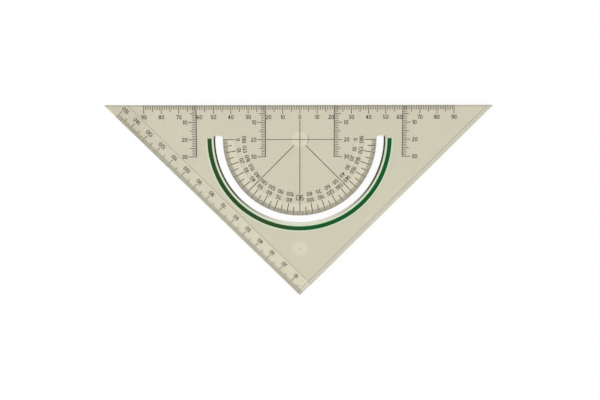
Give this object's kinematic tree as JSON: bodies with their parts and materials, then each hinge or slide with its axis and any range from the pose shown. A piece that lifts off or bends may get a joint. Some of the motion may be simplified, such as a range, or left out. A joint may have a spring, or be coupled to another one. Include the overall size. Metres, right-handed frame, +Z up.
{
  "type": "drafting triangle",
  "caption": "Flat see-through 45 degree drafting triangle with millimetre scales and a half-round protractor set inside a curved slot.",
  "frame": {"origin": "middle of the triangle's outline box, on the underside that it lies on", "axes": "+X along the long edge to the right, +Y towards the long edge and away from the right angle, +Z up out of the printed face"},
  "size_m": [0.2254, 0.113, 0.002],
  "materials": {
    "smoky_plastic": "clear smoky grey-beige plastic, polished",
    "black_ink": "printed ink",
    "green_ink": "printed ink"
  },
  "bodies": {
    "root": {"plate": "smoky_plastic", "long_edge_graduation": "black_ink", "long_edge_numerals": "black_ink", "leg_graduation": "black_ink", "leg_numerals": "black_ink", "protractor_graduation": "black_ink", "protractor_outer_numerals": "black_ink", "protractor_inner_numerals": "black_ink", "right_angle_numeral": "black_ink", "depth_scale_left_outer": "black_ink", "depth_scale_left_inner": "black_ink", "depth_scale_right_inner": "black_ink", "depth_scale_right_outer": "black_ink", "depth_numerals_left_outer": "black_ink", "depth_numerals_left_inner": "black_ink", "depth_numerals_right_inner": "black_ink", "depth_numerals_right_outer": "black_ink", "centre_cross": "black_ink", "angle_rays": "black_ink", "colour_stripe": "green_ink"}
  },
  "joints": []
}
